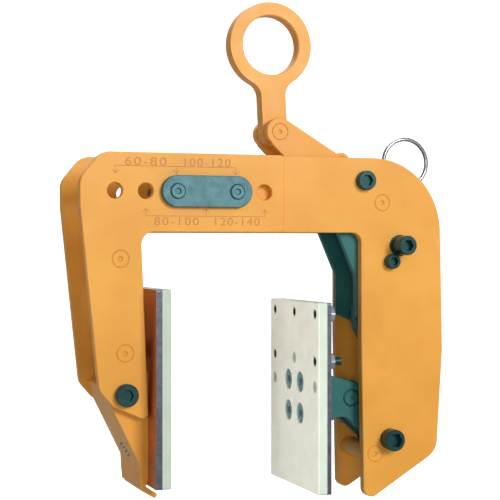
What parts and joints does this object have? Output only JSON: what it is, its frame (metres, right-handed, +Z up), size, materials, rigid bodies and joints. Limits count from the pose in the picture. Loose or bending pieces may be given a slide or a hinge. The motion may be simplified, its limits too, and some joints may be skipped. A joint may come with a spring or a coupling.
{
  "type": "plate lifting clamp",
  "caption": "Self-gripping lifting clamp for panels: telescoping U frame, locking pins, lifting ring on a lever, and opposed rubber-faced jaws.",
  "frame": {"origin": "centre of the lifting eye, on the mid-plane of the frame", "axes": "+Z up, +X along the crossbar from the fixed jaw to the moving jaw, +Y from the front plate with the pin plate to the rear"},
  "size_m": [0.2565, 0.09, 0.3335],
  "materials": {
    "orange_paint": "satin powder coat",
    "green_paint": "satin dark green",
    "plated_grey": "satin blue-grey plating",
    "dark_bolt_steel": "dark oiled",
    "pad_steel": "dull rolled steel",
    "zinc_steel": "zinc plated",
    "pale_rubber": "matt",
    "grey_rubber": "matt",
    "bronze": "plain",
    "bright_wire": "bright"
  },
  "bodies": {
    "frame": {"left_plate_front": "orange_paint", "left_plate_rear": "orange_paint", "right_plate_front": "orange_paint", "right_plate_rear": "orange_paint", "left_spacer_rods": "orange_paint", "right_spacer_rods": "orange_paint", "lever_bolt": "dark_bolt_steel", "crank_bolt": "dark_bolt_steel", "left_pivot_bolt": "dark_bolt_steel", "catch_bolt": "dark_bolt_steel", "catch_collar": "dark_bolt_steel", "stop_bolt": "dark_bolt_steel", "m8_nuts": "zinc_steel", "crank_nut": "zinc_steel", "stop_nut": "zinc_steel", "catch_spring": "zinc_steel"},
    "lock": {"pin_plate": "plated_grey", "lock_pins": "plated_grey"},
    "lifting_ring": {"lifting_ring": "orange_paint"},
    "lever": {"lever_plate_front": "orange_paint", "lever_plate_rear": "orange_paint", "lever_spacer": "orange_paint", "lever_tail_pin": "dark_bolt_steel", "lever_bush": "bronze", "lever_arm": "green_paint", "arm_drive_pin": "dark_bolt_steel", "ring_pin": "orange_paint", "ring_washers": "orange_paint"},
    "crank": {"crank": "green_paint"},
    "right_pad": {"right_pad_rubber": "pale_rubber", "right_pad_plate": "pad_steel", "right_pad_screws": "dark_bolt_steel", "right_pad_nuts": "zinc_steel", "right_pad_plugs": "grey_rubber", "right_pad_bolts": "plated_grey", "right_pad_bracket": "green_paint", "pad_pin": "green_paint"},
    "left_pad": {"left_pad_rubber": "pale_rubber", "left_pad_plate": "pad_steel", "left_pad_screws": "dark_bolt_steel", "left_pad_plugs": "grey_rubber", "left_pad_bolts": "plated_grey", "left_pad_bracket": "orange_paint", "foot_screws": "zinc_steel"},
    "catch": {"catch": "green_paint"},
    "pull_ring": {"pull_ring": "bright_wire"}
  },
  "joints": [
    {"name": "lever_swing", "type": "hinge", "parent": "frame", "child": "lever", "pos_m": [0.0598, 0, -0.0913], "axis": [0, 1, 0], "range_deg": [-6, 14]},
    {"name": "ring_swing", "type": "hinge", "parent": "lever", "child": "lifting_ring", "pos_m": [0.003, 0, -0.059], "axis": [0, 1, 0], "range_deg": [-60, 60]},
    {"name": "crank_swing", "type": "hinge", "parent": "frame", "child": "crank", "pos_m": [0.0783, 0, -0.2663], "axis": [0, 1, 0], "range_deg": [-14.8, 6.4]},
    {"name": "right_pad_level", "type": "hinge", "parent": "crank", "child": "right_pad", "pos_m": [0.0548, 0, -0.2387], "axis": [0, 1, 0], "range_deg": [-6.4, 14.8]},
    {"name": "left_pad_tilt", "type": "hinge", "parent": "frame", "child": "left_pad", "pos_m": [-0.1072, 0, -0.2293], "axis": [0, 1, 0], "range_deg": [-2, 2]},
    {"name": "catch_pull", "type": "hinge", "parent": "frame", "child": "catch", "pos_m": [0.0855, 0, -0.135], "axis": [0, 1, 0], "range_deg": [0, 12]},
    {"name": "pull_ring_tilt", "type": "hinge", "parent": "catch", "child": "pull_ring", "pos_m": [0.102, 0, -0.0936], "axis": [1, 0, 0], "range_deg": [-35, 35]},
    {"name": "pin_plate_pull", "type": "slide", "parent": "frame", "child": "lock", "axis": [0, -1, 0], "range_m": [0, 0.075]}
  ],
  "couplings": [
    {"joint": "crank_swing", "follows": "lever_swing", "ratio": -1.05},
    {"joint": "right_pad_level", "follows": "lever_swing", "ratio": 1.05}
  ]
}
